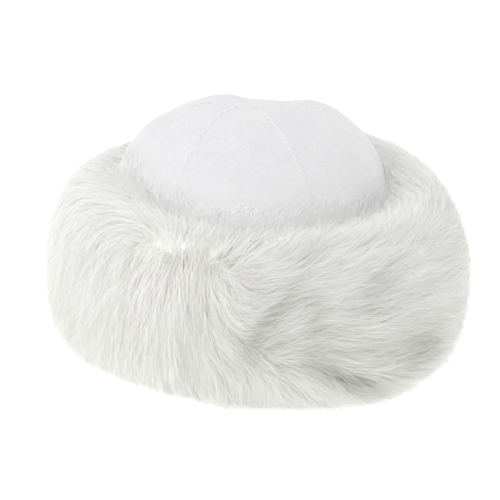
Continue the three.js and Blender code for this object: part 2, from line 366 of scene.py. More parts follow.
@dataclass
class Crown:
    """Six gores of brushed cloth, sewn together on six seams that meet at the top."""

    head: HeadOval = field(default_factory=HeadOval)
    cloth: float = 0.002
    shoulder: float = 0.106
    rise: float = 0.070
    fullness: float = 2.1
    apex_shift: tuple[float, float] = (-0.004, 0.0085)
    apex_radius: float = 0.0007
    first_seam: float = -35.5
    gores: int = 6
    puff: float = 0.002
    puff_fullness: float = 0.8
    seam_gap: float = 0.00001
    # Rows: middle x, middle y, spread and rise, in millimetres
    dents: np.ndarray = field(
        default_factory=lambda: np.array(
            [
                (-14, 36, 17, 8.7),  # left hump
                (31, 20, 22, 5),  # right hump
                (0, 37, 25, -17),  # dip behind the apex
                (-86, 0, 17, 12),  # full left shoulder
            ]
        )
    )
    dome_rows: int = 42
    side_rows: int = 6
    columns: int = 36
    # The table of the crown's outer wall
    wall_turns: tuple[float, float] = (3.0, 90.0)
    wall_heights: tuple[float, float] = (0.09, 0.175)
    wall_steps: int = 90
    wall_sector: float = 3.0
    # The seam: a low ridge, mostly on the left gore, with a slight groove where the gores meet
    fold_rise: float = 0.0005
    fold_middle: float = 0.0006
    fold_spread: float = 0.0011
    sink_depth: float = 0.00006
    sink_spread: float = 0.0005
    pucker_depth: float = 0.00015
    pucker_length: float = 0.0065
    pucker_reach: float = 0.006
    pucker_drift: float = 0.017
    seams_meet: tuple[float, float] = (0.002, 0.016)  # radii between which the relief fades out
    gore_shift: float = 0.013  # of the puckers from seam to seam
    # Topstitches to the left of each seam
    first_stitch: float = 0.012
    past_shoulder: float = 0.02
    stitch_rings: int = 6
    stitch_height: float = 0.0001
    stitch_dip: float = 0.0003
    stitch_end: float = 0.3  # the end rings' share of the radius
    stitch_middle: float = 0.03  # the point that stitches face away from, below the shoulder
    stitch_inset: float = 0.0027
    stitch_length: float = 0.0026
    stitch_pitch: float = 0.0036
    stitch_radius: float = 0.00022
    stitch_sides: int = 6
    crease: float = 0.7  # radians past which the gores' edges are sharp

    @property
    def span(self) -> float:
        """Degrees from seam to seam."""
        return 360 / self.gores

    @property
    def hem(self) -> float:
        """The gores' lower edge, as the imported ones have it."""
        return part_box("crown_gore_1")[0].z

    def outline(self, turn: np.ndarray) -> tuple[np.ndarray, np.ndarray]:
        """The dome's profile at turns of 0 to 90: its share outwards and upwards, sin^(2/n) and cos^(2/n)."""
        sin, cos = np.sin(np.radians(turn)), np.maximum(np.cos(np.radians(turn)), 0)
        return sin ** (2 / self.fullness), cos ** (2 / self.fullness)

    def ring_radius(self, turn: np.ndarray) -> np.ndarray:
        """The radius of the crown's side at a turn, across the hat."""
        return self.head.radius(90.0, self.cloth) * self.outline(turn)[0]

    def seam_relief(self, azimuth: np.ndarray, turn: np.ndarray, way: np.ndarray) -> np.ndarray:
        """How far the cloth stands out at its seams.

        Args:
            azimuth: Degrees from the front.
            turn: 0 at the apex to 90 at the shoulder.
            way: The distance along the seam, in metres, that the puckers follow.

        Returns:
            With x the distance right of the seam, a ridge rise exp(-((x + m) / s)^2) less a groove
            sink exp(-(x / t)^2), and puckers that die out away from it, all fading where the seams meet.
        """
        ring = self.ring_radius(turn)
        past = np.mod(azimuth - self.first_seam, self.span)
        right = np.radians(past) * ring
        left = np.radians(self.span - past) * ring
        near = np.minimum(left, right)
        signed = np.where(right < left, right, -left)
        fold = self.fold_rise * np.exp(-(((signed + self.fold_middle) / self.fold_spread) ** 2))
        sink = self.sink_depth * np.exp(-((signed / self.sink_spread) ** 2))
        pucker = np.sin(2 * np.pi * way / self.pucker_length + 2.0 * np.sin(way / self.pucker_drift))
        pucker = self.pucker_depth * pucker * np.exp(-((near / self.pucker_reach) ** 2))
        return (fold - sink + pucker) * smooth_step(ring, *self.seams_meet)

    def point(
        self, azimuth: np.ndarray, turn: np.ndarray, drop: np.ndarray, offset: float | np.ndarray
    ) -> np.ndarray:
        """Points of the crown.

        Args:
            azimuth: Degrees from the front.
            turn: 0 at the apex to 90 at the shoulder.
            drop: 0 at the shoulder to 1 at the hem.
            offset: How far out of the cloth's outer face.

        Returns:
            The superelliptic dome over the head's oval, swollen between its seams and leaning to its apex,
            with its dents raised as bell curves, and below it an upright side.
        """
        out, up = self.outline(turn)
        sin, cos = np.sin(np.radians(turn)), np.cos(np.radians(turn))
        seam_wave = np.abs(np.sin(np.radians((azimuth - self.first_seam) * self.gores / 2)))
        swell = self.puff * seam_wave**self.puff_fullness * sin**self.puff_fullness * (1 - drop)
        radius = self.head.radius(azimuth, self.cloth) * out + swell
        place = polar(azimuth, radius, self.shoulder + self.rise * up)
        place[..., :2] += np.asarray(self.apex_shift) * (1 - out[..., None] ** 2)
        for x, y, spread, rise in self.dents * MM:
            away = ((place[..., 0] - x) ** 2 + (place[..., 1] - y) ** 2) / (2 * spread**2)
            place[..., 2] += rise * np.exp(-away)
        place[..., 2] += (self.hem - place[..., 2]) * drop
        return place + polar(azimuth, sin, cos) * np.asarray(offset)[..., None]

    def rows(self) -> tuple[np.ndarray, np.ndarray, np.ndarray]:
        """The turn, drop and distance from the apex of each row of a gore's grid."""
        share = (self.apex_radius / self.head.radius(90.0, self.cloth)) ** (self.fullness / 2)
        first = math.degrees(math.asin(share))
        turn = np.concatenate([np.linspace(first, 90, self.dome_rows + 1), np.full(self.side_rows, 90.0)])
        drop = np.concatenate([np.zeros(self.dome_rows + 1), np.linspace(0, 1, self.side_rows + 1)[1:]])
        middle = self.point(np.zeros_like(turn), turn, drop, 0.0)
        steps = np.linalg.norm(np.diff(middle, axis=0), axis=1)
        return turn, drop, np.concatenate([[0], np.cumsum(steps)])

    def wall(self, azimuth: np.ndarray, height: np.ndarray) -> np.ndarray:
        """The crown's outer radius.

        Args:
            azimuth: Degrees from the front.
            height: Above the floor.

        Returns:
            The radii, read off a table of the crown's surface in straight lines between its entries.
        """
        turns = np.linspace(*self.wall_turns, self.wall_steps)
        sectors = np.arange(0, 360, self.wall_sector)
        heights = np.linspace(*self.wall_heights, self.wall_steps)
        place = self.point(sectors[:, None], turns[None], np.zeros((1, 1)), 0.0)
        radii = np.hypot(place[..., 0], place[..., 1])
        table = np.stack([np.interp(heights, z[::-1], r[::-1]) for z, r in zip(place[..., 2], radii)])
        column = np.clip((height - heights[0]) / (heights[1] - heights[0]), 0, len(heights) - 1.001)
        row = np.mod(azimuth, 360) / self.wall_sector
        i, j = np.floor(row).astype(int), np.floor(column).astype(int)
        f, g = row - i, column - j
        after = (i + 1) % len(sectors)
        near = table[i % len(sectors), j] * (1 - g) + table[i % len(sectors), j + 1] * g
        return near * (1 - f) + (table[after, j] * (1 - g) + table[after, j + 1] * g) * f

    def gore(self, index: int) -> tuple[np.ndarray, list[np.ndarray], float]:
        """One gore's wall.

        Args:
            index: Which gore, from 0.

        Returns:
            Its points, its faces, and the area of its outer face in square metres. Two grids of the same
            cells, the outer and the inner face, are closed round their border.
        """
        turn, drop, way = self.rows()
        share = 0.5 - 0.5 * np.cos(np.pi * np.linspace(0, 1, self.columns + 1))
        margin = np.degrees(self.seam_gap / 2 / self.ring_radius(turn))[:, None]
        azimuth = self.first_seam + self.span * index + margin + (self.span - 2 * margin) * share
        turn, drop, way = (np.broadcast_to(x[:, None], azimuth.shape) for x in (turn, drop, way))
        # The border columns are read just inside the gore, or they would wrap onto the next one's side
        inset = 1e-4
        inside = np.clip(azimuth, self.first_seam + self.span * index + inset, None)
        inside = np.minimum(inside, self.first_seam + self.span * (index + 1) - inset)
        relief = self.seam_relief(inside, turn, way + self.gore_shift * index) * (1 - drop)
        layers = [self.point(azimuth, turn, drop, offset) for offset in (relief, relief - self.cloth)]
        rows, columns = azimuth.shape
        at = lambda layer, row, column: (layer * rows + row) * columns + column
        last, width = rows - 1, columns - 1
        faces = [
            grid_faces(last, width, lambda r, c: at(0, r, c)),
            grid_faces(last, width, lambda r, c: at(1, r, width - c)),
            grid_faces(1, width, lambda k, c: at(1 - k, 0, c)),
            grid_faces(1, width, lambda k, c: at(k, last, c)),
            grid_faces(last, 1, lambda r, k: at(1 - k, r, 0)),
            grid_faces(last, 1, lambda r, k: at(k, r, width)),
        ]
        outer = layers[0]
        down, over = outer[1:, :-1] - outer[:-1, :-1], outer[:-1, 1:] - outer[:-1, :-1]
        area = float(np.linalg.norm(np.cross(down, over), axis=-1).sum())
        return np.concatenate([x.reshape(-1, 3) for x in layers]), [np.concatenate(faces)], area

    def stitches(self) -> tuple[np.ndarray, list[np.ndarray]]:
        """The topstitches along the seams: short thick threads, whose ends dip into the cloth.

        Returns:
            Points and faces. Each stitch is a tube r sqrt(1 - (2t - 1)^6) round its own stretch of the seam.
        """
        turn, drop, way = self.rows()
        ring = self.ring_radius(turn)
        starts = np.arange(self.first_stitch, way[self.dome_rows] + self.past_shoulder, self.stitch_pitch)
        rings = np.linspace(0, 1, self.stitch_rings)
        along = starts[:, None] + rings * self.stitch_length
        row_turn, row_drop = np.interp(along, way, turn), np.interp(along, way, drop)
        inset = np.degrees(self.stitch_inset / np.interp(along, way, ring))
        seams = self.first_seam + self.span * np.arange(self.gores)
        azimuth = seams[:, None, None] - inset
        row_turn, row_drop, along = (np.broadcast_to(x, azimuth.shape) for x in (row_turn, row_drop, along))
        relief = self.seam_relief(azimuth, row_turn, along)
        relief = relief + self.stitch_height - self.stitch_dip * (2 * rings - 1) ** 4
        core = self.point(azimuth, row_turn, row_drop, relief).reshape(-1, len(rings), 3)
        ahead = unit(np.gradient(core, axis=1))
        out = unit(core - np.array([0, 0, self.shoulder - self.stitch_middle]))
        side = unit(np.cross(ahead, out))
        out = np.cross(side, ahead)
        turns = 2 * np.pi * np.arange(self.stitch_sides) / self.stitch_sides
        round_it = (
            np.cos(turns)[:, None] * side[:, :, None, :] + np.sin(turns)[:, None] * out[:, :, None, :]
        )
        thick = np.sqrt(np.clip(1 - (2 * rings - 1) ** 6, self.stitch_end**2, None))
        thick = self.stitch_radius * thick
        points = core[:, :, None, :] + thick[None, :, None, None] * round_it
        count, sides = len(rings), self.stitch_sides
        at = lambda row, k: row * sides + k % sides
        tube = grid_faces(count - 1, sides, at)
        caps = np.stack([np.arange(sides)[::-1], np.arange(sides) + (count - 1) * sides])
        shift = (np.arange(len(core)) * count * sides)[:, None, None]
        return points.reshape(-1, 3), [(tube + shift).reshape(-1, 4), (caps + shift).reshape(-1, sides)]

    def build(self) -> list[bpy.types.Object]:
        """Makes and dresses the gores and their stitches."""
        cloth = BrushedCloth().material()
        made = []
        for index in range(self.gores):
            node = f"crown_gore_{index + 1}"
            points, faces, area = self.gore(index)
            gore = make_mesh(f"sewn_{node}", points, faces)
            gore.data.set_sharp_from_angle(angle=self.crease)
            gore.data.materials.append(cloth)
            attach(gore, "root")
            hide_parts(node)
            middle = self.first_seam + self.span * (index + 0.5)
            width = float(np.radians(self.span) * self.head.radius(middle, 0))
            length = float(self.rows()[2][-1])
            log.info("%s: flat %.0f by %.0f mm, %.4f m2", gore.name, width / MM, length / MM, area)
            made.append(gore)
        stitches = make_mesh("crown_stitches", *self.stitches())
        stitches.data.materials.append(SewingThread().material())
        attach(stitches, "root")
        log.info("crown_stitches: %d faces", len(stitches.data.polygons))
        return [*made, stitches]


@dataclass
class FurForm:
    """The cuff's outer form: a rounded section that changes round the hat."""

    crown: Crown
    core: float = 0.108
    foot: float = 0.103
    lip: float = 0.0025
    upper_fullness: float = 2.2
    lower_fullness: float = 2.45
    stand_off: float = 0.0025
    stand_off_right: float = 0.0025
    stand_off_over: Profile = ((-1.0, 0.0), (-0.3, 1.0), (0.9, 1.0), (1.6, 0.0))
    right_middle: float = 85.0  # azimuth
    right_spread: float = 45.0  # degrees
    wall_rise: float = 0.020  # height on the crown of a unit of level past 2
    wall_clear: float = 0.0008
    wall_near: float = 0.005  # of the middle of the curve in to the crown
    curve_drop: float = 0.001  # of that middle below the crest
    line_drop: float = 0.003  # of the last hairs' line below the crest, at most
    clearance: float = 0.0003  # of the ground to the cloth
    top_level: float = 2.45
    # One row every 30 degrees: reach, belly, crest, lap, lift, and the last hairs' line on the crown, in
    # millimetres
    sizes: np.ndarray = field(
        default_factory=lambda: np.array(
            [
                (144, 50, 118, 112, 6, 123),
                (151, 48, 115, 110, 4, 122),
                (144, 51, 111, 105, 0, 115),
                (140, 53, 111, 102, 0, 112),
                (140, 54, 118, 108, 0, 120),
                (141, 55, 121, 112, 0, 124),
                (142, 55, 120, 112, 0, 125),
                (143, 54, 118, 110, 0, 124),
                (143, 52, 119, 114, 0, 128),
                (140, 48, 122, 122, 1, 134),
                (138, 47, 122, 117, 7, 127),
                (137, 50, 120, 112, 9, 122),
            ]
        )
    )
    # Hollows in the pile: azimuth, level, half length, half width, turn in degrees, and depth, in millimetres
    hollows: np.ndarray = field(
        default_factory=lambda: np.array(
            [
                (23, -0.16, 17, 4.2, -28, 9),  # gap under the fan, at the right
                (45.5, -0.04, 15, 9, -10, 3.5),  # softer gap beyond it
                (4, 0.28, 22, 3.5, 43, 5),  # groove up the fan's edge
                (14, 0.27, 9, 3, 84, 3.5),  # short groove beside it
                (29.5, 0.36, 18, 4, 26, 2.5),  # long shallow grooves in the fan
                (33.5, 0.03, 28, 4, -4, 2),
                (4.5, 0.08, 14, 3.5, 18, 1.5),
                (-1, -0.45, 12, 6, 82, 1.5),  # groove down the skirt
                (-21.5, 0.64, 8, 4, 20, 4),  # parting at the left whorl
                (-10.5, 0.66, 8, 3.5, 32, 4),
                (12.5, 0.73, 10, 3, 4, 5),  # parting in the middle
                (38, 0.77, 22, 3.5, -4, 2.5),  # parting at the right
                (-17, 0.2, 14, 3.5, 88, 2),  # fold down the left
            ],
            float,
        )
    )

    def column(self, name: str, azimuth: np.ndarray) -> np.ndarray:
        """A named column of the sizes, in metres, at azimuths."""
        names = ("reach", "belly", "crest", "lap", "lift", "line")
        return around(self.sizes[:, names.index(name)], azimuth) * MM

    def section(self, azimuth: np.ndarray, level: np.ndarray) -> tuple[np.ndarray, np.ndarray]:
        """The section's radius and height, up to the crest.

        Args:
            azimuth: Degrees from the front.
            level: From -1 at the underside to 1 at the crest.

        Returns:
            Superelliptic quarters above and below the widest line: core + (reach - core) cos^(2/n) outwards,
            and belly + (end - belly) sin^(2/n) upwards.
        """
        turn = np.pi / 2 * np.clip(np.abs(level), 0, 1)
        sin, cos = np.sin(turn), np.maximum(np.cos(turn), 0)
        upper = level > 0
        power = np.where(upper, 2 / self.upper_fullness, 2 / self.lower_fullness)
        end = np.where(upper, self.column("crest", azimuth), self.column("lift", azimuth))
        belly = self.column("belly", azimuth)
        radius = self.core + (self.column("reach", azimuth) - self.core) * cos**power
        return radius, belly + (end - belly) * sin**power

    def backing(self, azimuth: np.ndarray, level: np.ndarray) -> np.ndarray:
        """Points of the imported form.

        Args:
            azimuth: Degrees from the front.
            level: From -1 at the underside to 2 at the lap.

        Returns:
            The section up to the crest, and past it a quarter of an ellipse in to the crown and down to the
            lap.
        """
        radius, height = self.section(azimuth, level)
        turn = np.pi / 2 * np.clip(level - 1, 0, 1)
        inner = self.crown.head.radius(azimuth, self.crown.cloth + self.clearance)
        lap, crest = self.column("lap", azimuth), self.column("crest", azimuth)
        over = level > 1
        radius = np.where(over, self.core + (inner - self.core) * np.sin(turn), radius)
        height = np.where(over, lap + (crest - lap) * np.cos(turn), height)
        return polar(azimuth, radius, height)

    def face(self, azimuth: np.ndarray, level: np.ndarray) -> np.ndarray:
        """Points that the hair's tips lie on.

        Args:
            azimuth: Degrees from the front.
            level: From -1 at the underside to the top level on the crown.

        Returns:
            The section up to the crest, then a Bezier curve in to the last hairs' line on the crown, and past
            level 2 the crown's own wall.
        """
        radius, height = self.section(azimuth, level)
        t = np.clip(level - 1, 0, 1)
        crest, line = self.column("crest", azimuth), self.column("line", azimuth)
        line = np.maximum(line, crest - self.line_drop)
        past = self.wall_rise * np.maximum(level - 2, 0)
        wall = self.crown.wall(azimuth, line + past)
        first, second, third = (1 - t) ** 2, 2 * t * (1 - t), t**2
        in_radius = first * self.core + second * (wall + self.wall_near) + third * (wall + self.wall_clear)
        in_height = first * crest + second * (crest - self.curve_drop) + third * (line + past)
        over = level > 1
        return polar(azimuth, np.where(over, in_radius, radius), np.where(over, in_height, height))

    def tangents(self, azimuth: np.ndarray, level: np.ndarray) -> tuple[np.ndarray, np.ndarray]:
        """How the face runs.

        Args:
            azimuth: Degrees from the front.
            level: Of the places.

        Returns:
            Its run along a degree of azimuth and along a unit of level, by small differences.
        """
        half, step = 0.5, 0.02
        along = (self.face(azimuth + half, level) - self.face(azimuth - half, level)) / (2 * half)
        high, low = np.minimum(level + step, self.top_level), np.maximum(level - step, -1.0)
        rise = (self.face(azimuth, high) - self.face(azimuth, low)) / (high - low)[..., None]
        return along, rise

    def proud(self, azimuth: np.ndarray, level: np.ndarray) -> np.ndarray:
        """How far the pile stands over the section: most on the face and the right, nothing on the crown."""
        right = np.exp(-(((from_front(azimuth) - self.right_middle) / self.right_spread) ** 2))
        return (self.stand_off + self.stand_off_right * right) * at_level(self.stand_off_over, level)

    def hollow(self, azimuth: np.ndarray, level: np.ndarray) -> np.ndarray:
        """How deep the hollows are.

        Args:
            azimuth: Degrees from the front, from -180 to 180.
            level: Of the places.

        Returns:
            Metres: a sum of bell curves, each turned along its own line.
        """
        depth = np.zeros(np.shape(azimuth))
        for middle, rest, length, width, turn, deep in self.hollows:
            x, y = (azimuth - middle) * DEGREE_MM, (level - rest) * LEVEL_MM
            cos, sin = math.cos(math.radians(turn)), math.sin(math.radians(turn))
            ahead, aside = (x * cos + y * sin) / length, (y * cos - x * sin) / width
            depth += deep * MM * np.exp(-0.5 * ahead**2 - 0.5 * aside**2)
        return depth

    def hollow_slope(
        self, azimuth: np.ndarray, level: np.ndarray, along: np.ndarray, rise: np.ndarray
    ) -> np.ndarray:
        """How the hollows deepen along the face.

        Args:
            azimuth: Degrees from the front.
            level: Of the places.
            along: The face's run along a degree of azimuth.
            rise: The face's run along a unit of level.

        Returns:
            A vector of metres a metre, by small differences.
        """
        turn, climb = 0.4, 0.015
        wide = self.hollow(azimuth + turn, level) - self.hollow(azimuth - turn, level)
        high = self.hollow(azimuth, level + climb) - self.hollow(azimuth, level - climb)
        wide = wide[..., None] / (2 * turn) * along / np.maximum((along**2).sum(-1, keepdims=True), 1e-9)
        high = high[..., None] / (2 * climb) * rise / np.maximum((rise**2).sum(-1, keepdims=True), 1e-6)
        return wide + high


@dataclass
class CombChart:
    """Which way the fur is combed. 0 is towards +azimuth and 90 is up."""

    # One row every 30 degrees: the comb onto the crown, on the crest, on the face and on the skirt, and how
    # ruffled it is
    rounds: np.ndarray = field(
        default_factory=lambda: np.array(
            [
                (66, 58, -30, -58, 1.0),
                (56, 36, 6, -24, 0.9),
                (48, 22, -8, -18, 0.5),
                (50, 26, -12, -28, 0.35),
                (56, 34, -6, -38, 0.35),
                (64, 30, -16, -48, 0.4),
                (70, 10, -28, -56, 0.4),
                (76, -30, -46, -64, 0.4),
                (96, -70, -66, -76, 0.3),
                (112, -130, -90, -90, 0.15),
                (112, -136, -100, -98, 0.15),
                (98, 150, -90, -88, 0.4),
            ]
        )
    )
    # Strokes of the comb at the front: azimuth, level, direction, reach in millimetres, and strength
    strokes: np.ndarray = field(
        default_factory=lambda: np.array(
            [
                (-30, 0.32, -92, 20, 3),  # smooth fall at the left
                (-18, 0.36, -85, 14, 4),  # whorl, falling
                (-11.5, 0.42, -80, 9, 4),
                (-6.5, 0.36, -52, 8, 5),  # whorl, curling right
                (4.5, 0.60, -2, 12, 5),  # band to the right
                (25, 0.60, -4, 20, 4),
                (-16, 0.02, -62, 8, 3),  # light locks across the fall
                (-9, 0.05, -38, 8, 5),
                (-3, -0.08, -60, 7, 5),
                (3, 0.27, 46, 11, 7),  # fan, up
                (14, 0.27, 50, 8, 4),
                (29.5, 0.36, 24, 15, 4),
                (6, 0.06, 16, 8, 4),  # fan, right
                (32, 0.03, -4, 20, 4),
                (12, -0.12, -34, 9, 4),  # fan, down to the right
                (20, -0.3, -46, 12, 4),
                (-1.5, -0.35, -84, 13, 4),  # fan, down
                (-24, 0.82, 92, 12, 5),  # above the parting
                (0, 0.98, 66, 22, 4),
                (16, 0.95, 50, 16, 4),
                (36, 0.95, 24, 16, 3),
            ],
            float,
        )
    )
    # Levels over which one comb takes over from the next
    to_lap: tuple[float, float] = (1.25, 1.5)
    to_crest: tuple[float, float] = (0.5, 0.85)
    to_skirt: tuple[float, float] = (-0.2, 0.3)  # below 0
    calmer_over: Profile = ((0.55, 1.0), (0.95, 0.4))

    def ruffle(self, azimuth: np.ndarray, level: np.ndarray) -> np.ndarray:
        """How unruly the fur is: each round's share, calmer towards the crest."""
        return around(self.rounds[:, 4], azimuth) * at_level(self.calmer_over, level)

    def direction(self, azimuth: np.ndarray, level: np.ndarray) -> np.ndarray:
        """The comb's direction in degrees.

        Args:
            azimuth: Degrees from the front.
            level: Of the places.

        Returns:
            The direction of a sum of vectors: those of the lap, the crest, the face and the skirt, which take
            over from each other over the levels, and each stroke's, weighted by a bell curve of its distance.
        """
        lap, high = smooth_step(level, *self.to_lap), smooth_step(level, *self.to_crest)
        low = smooth_step(-level, *self.to_skirt)
        shares = (lap, high - lap, (1 - high) * (1 - low), low)
        turns = np.radians(self.rounds[:, :4])
        x, y = (
            sum(share * around(part[:, k], azimuth) for k, share in enumerate(shares))
            for part in (np.cos(turns), np.sin(turns))
        )
        front = from_front(azimuth)
        for middle, rest, way, reach, strength in self.strokes:
            away = ((front - middle) * DEGREE_MM) ** 2 + ((level - rest) * LEVEL_MM) ** 2
            weight = strength * np.exp(-away / (2 * reach**2))
            x, y = x + weight * math.cos(math.radians(way)), y + weight * math.sin(math.radians(way))
        return np.degrees(np.arctan2(y, x))


@dataclass(frozen=True)
class HairCut:
    """How one layer of the pile is cut: its counts, its sizes in metres and its shares of them."""

    wisps: int
    hairs: int  # in a wisp
    joints: int
    length: float
    width: float
    root_depth: float
    lift: float  # of the tips over the face
    lift_scatter: float
    spread: float  # half a wisp's width
    gather: float  # the share of the spread that is left at the tips
    stand: float  # scatter of single tips
    fan: float  # share of the length that tips stray sideways
    stray: float  # mean rise of stray tips


@dataclass
class Wisps:
    """One layer's wisps, in arrays over the wisps and, for the last five, over the steps of their paths."""

    level: np.ndarray
    ruffle: np.ndarray
    length: np.ndarray
    lift: np.ndarray
    depth: np.ndarray
    tint: np.ndarray
    guide: np.ndarray
    side: np.ndarray
    normal: np.ndarray
    lit: np.ndarray
    dip: np.ndarray


@dataclass
class FurPile:
    """The pile: thin tapering strips of hair that grow in wisps, and the wisps in tufts, along the comb."""

    form: FurForm
    comb: CombChart = field(default_factory=CombChart)
    seed: int = 20
    cuts: dict[Layer, HairCut] = field(
        default_factory=lambda: {
            Layer.UNDERCOAT: HairCut(
                wisps=1600,
                hairs=5,
                joints=3,
                length=0.040,
                width=0.00055,
                root_depth=0.008,
                lift=-0.001,
                lift_scatter=0.0003,
                spread=0.0070,
                gather=1.0,
                stand=0.0010,
                fan=0.10,
                stray=0.0,
            ),
            Layer.PILE: HairCut(
                wisps=7800,
                hairs=13,
                joints=4,
                length=0.064,
                width=0.00025,
                root_depth=0.008,
                lift=0.0004,
                lift_scatter=0.0008,
                spread=0.0058,
                gather=0.62,
                stand=0.0005,
                fan=0.06,
                stray=0.0016,
            ),
            Layer.LOOSE: HairCut(
                wisps=10300,
                hairs=3,
                joints=3,
                length=0.050,
                width=0.00018,
                root_depth=0.004,
                lift=0.0010,
                lift_scatter=0.0010,
                spread=0.0070,
                gather=1.0,
                stand=0.0010,
                fan=0.16,
                stray=0.0075,
            ),
        }
    )
    sides: tuple[str, ...] = ("front", "right", "back_right", "back_left", "left")
    # Where the roots are: the crowding over the levels, and the lattice's steps, 1 / p and 1 / p^2 with
    # p^3 = p + 1
    root_levels: tuple[float, float] = (-0.9, 1.93)
    crowding: Profile = ((0.7, 1.0), (1.0, 1.4), (1.3, 2.0), (1.93, 4.2))
    lattice: tuple[float, float] = (0.7548776662, 0.5698402910)
    table_sector: float = 3.0
    table_rows: int = 160
    # How the tufts and wisps lie
    tufts: int = 520
    tuft_turn: float = 9.0
    wisp_turn: float = 6.0
    tuft_lift: float = 0.0022
    tuft_pull: float = 0.30
    longest_pull: float = 0.012
    length_scatter: float = 0.12
    length_limits: tuple[float, float] = (0.6, 1.4)
    length_over: Profile = ((-0.9, 0.5), (-0.4, 0.9), (0.6, 1.0), (1.0, 0.75), (1.3, 0.55), (1.93, 0.32))
    lift_over: Profile = ((-0.9, 0.35), (-0.3, 1.0), (0.9, 1.0), (1.3, 0.5), (1.75, 0.12))
    depth_over: Profile = ((0.9, 1.0), (1.3, 0.5), (1.75, 0.12))
    calm_depth: float = 0.3
    # How the paths run
    path_steps: int = 12
    behind: int = 2
    behind_over: Profile = ((0.9, 1.0), (1.4, 0.3))
    blur: float = 1.6  # degrees of azimuth
    blur_unit: float = 26.0  # degrees of azimuth that count as a unit of level
    flattest_rise: float = 0.018  # metres a unit of level, at least
    lowest_level: float = -0.99
    short_of_top: float = 0.03
    # How the hairs lie in their wisp
    stagger: float = 0.22
    ruffled_stagger: float = 0.35
    shortest_over: Profile = ((1.1, 0.75), (1.5, 0.35))
    ruffled_spread: float = 0.65
    gather_scatter: tuple[float, float] = (0.2, 1.8)
    most_gathered: float = 1.5
    wave_size: float = 0.0006
    wave_turns: tuple[float, float] = (3.0, 7.0)
    wave_starts: float = 6.3
    calm_strays: float = 0.6
    longest_stray: float = 0.0138
    stand_over: Profile = ((-0.9, 0.2), (-0.3, 1.0), (1.0, 1.0), (1.6, 0.15))
    crown_margin: float = 0.0006
    crown_top: float = 0.16
    floor_margin: float = 0.0004
    roll: float = 0.9
    width_scatter: tuple[float, float] = (0.75, 1.25)
    width_over: Profile = ((1.1, 1.0), (1.6, 0.9))
    # How they take light: shares of their own and of the hollows' and tufts' facing, and tints, which hold
    # painted shade and painted light
    own_facing: float = 0.14
    slope_facing: float = 0.8
    tuft_round: float = 0.35
    middle_tint: float = 0.62
    tuft_tint: float = 0.06
    hair_tint: float = 0.08
    # Painted shade on the lower fur: tint taken off towards the underside
    low_shade: float = 0.36  # at the lowest level
    low_levels: tuple[float, float] = (-0.4, 0.4)
    upper_low_shade: float = 0.45  # its share at the upper one of those levels
    # Painted light on the crest and up to the crown: tint added high up
    high_painted_light: Profile = ((0.7, 0.06), (1.0, 0.34))
    stray_shade: float = 0.2
    full_stray: float = 0.008
    # Painted shade in the hollows: tint taken off by their depth
    dip_shade: float = 0.30
    full_dip: float = 0.006
    tint_limits: tuple[float, float] = (0.3, 0.98)
    darkest_tint: float = 0.02

    def roots(self, count: int, rng: np.random.Generator) -> tuple[np.ndarray, np.ndarray]:
        """Evenly spread places on the form.

        Args:
            count: How many.
            rng: The source of their scatter.

        Returns:
            Azimuths and levels. A lattice over (0, 1)^2, jittered by half its spacing, is laid on the form so
            that equal areas get equal numbers, but for a denser line at the crown.
        """
        levels = np.linspace(*self.root_levels, self.table_rows)
        sectors = np.arange(0, 360, self.table_sector)
        grid = np.meshgrid(sectors, levels, indexing="ij")
        along, rise = self.form.tangents(*grid)
        area = np.linalg.norm(np.cross(along, rise), axis=-1) * at_level(self.crowding, grid[1])
        first = np.cumsum(np.concatenate([[0], area.sum(1)]))
        k = np.arange(count) + 0.5
        jitter = 0.5 / math.sqrt(count)
        u = np.mod(k * self.lattice[0] + jitter * rng.uniform(-1, 1, count), 1)
        v = np.clip(np.mod(k * self.lattice[1], 1) + jitter * rng.uniform(-1, 1, count), 0, 1)
        azimuth = np.interp(u, first / first[-1], np.arange(0, 360 + self.table_sector, self.table_sector))
        row = np.floor(azimuth / self.table_sector).astype(int) % len(sectors)
        second = np.cumsum(area, axis=1)
        second = second / second[:, -1:]
        at = np.minimum((second[row] < v[:, None]).sum(1), len(levels) - 1)
        level = levels[at] + rng.uniform(-1, 1, count) * (levels[1] - levels[0]) / 2
        return azimuth, level

    def paths(
        self, azimuth: np.ndarray, level: np.ndarray, turn: np.ndarray, length: np.ndarray
    ) -> np.ndarray:
        """Walks along the comb on the form's face.

        Args:
            azimuth: Of the roots.
            level: Of the roots.
            turn: Degrees that each wisp strays from the comb.
            length: Of the wisps.

        Returns:
            (n, steps + 1, 2) azimuths and levels. Each step goes length / steps along the comb's direction
            turned by the wisp's own turn, and read a little aside of the wisp, which blurs the partings. The
            first few steps lead straight up to the root from behind it, so that the hairs on both sides of a
            parting cross under each other.
        """
        stride = length / self.path_steps
        rng = np.random.default_rng(self.seed + 3)
        aside = self.blur * rng.standard_normal((2, len(azimuth)))
        comb = lambda a, l: np.radians(
            self.comb.direction(a + aside[0], l + aside[1] / self.blur_unit) + turn
        )
        first = comb(azimuth, level)
        azimuth, level = self.step(
            azimuth, level, first, -stride * (self.behind * at_level(self.behind_over, level))
        )
        track = [np.stack([azimuth, level], -1)]
        for k in range(self.path_steps):
            way = first if k < self.behind else comb(azimuth, level)
            azimuth, level = self.step(azimuth, level, way, stride)
            track.append(np.stack([azimuth, level], -1))
        return np.stack(track, 1)

    def step(self, azimuth: np.ndarray, level: np.ndarray, way: np.ndarray, stride: np.ndarray) -> tuple:
        """Goes one stride along the face.

        Args:
            azimuth: Degrees from the front.
            level: Of the places.
            way: The way to go, in radians.
            stride: How far, in metres.

        Returns:
            The new azimuths and levels.
        """
        along, rise = self.form.tangents(azimuth, level)
        azimuth = azimuth + stride * np.cos(way) / np.linalg.norm(along, axis=-1)
        climb = stride * np.sin(way) / np.maximum(np.linalg.norm(rise, axis=-1), self.flattest_rise)
        return azimuth, np.clip(level + climb, self.lowest_level, self.form.top_level - self.short_of_top)

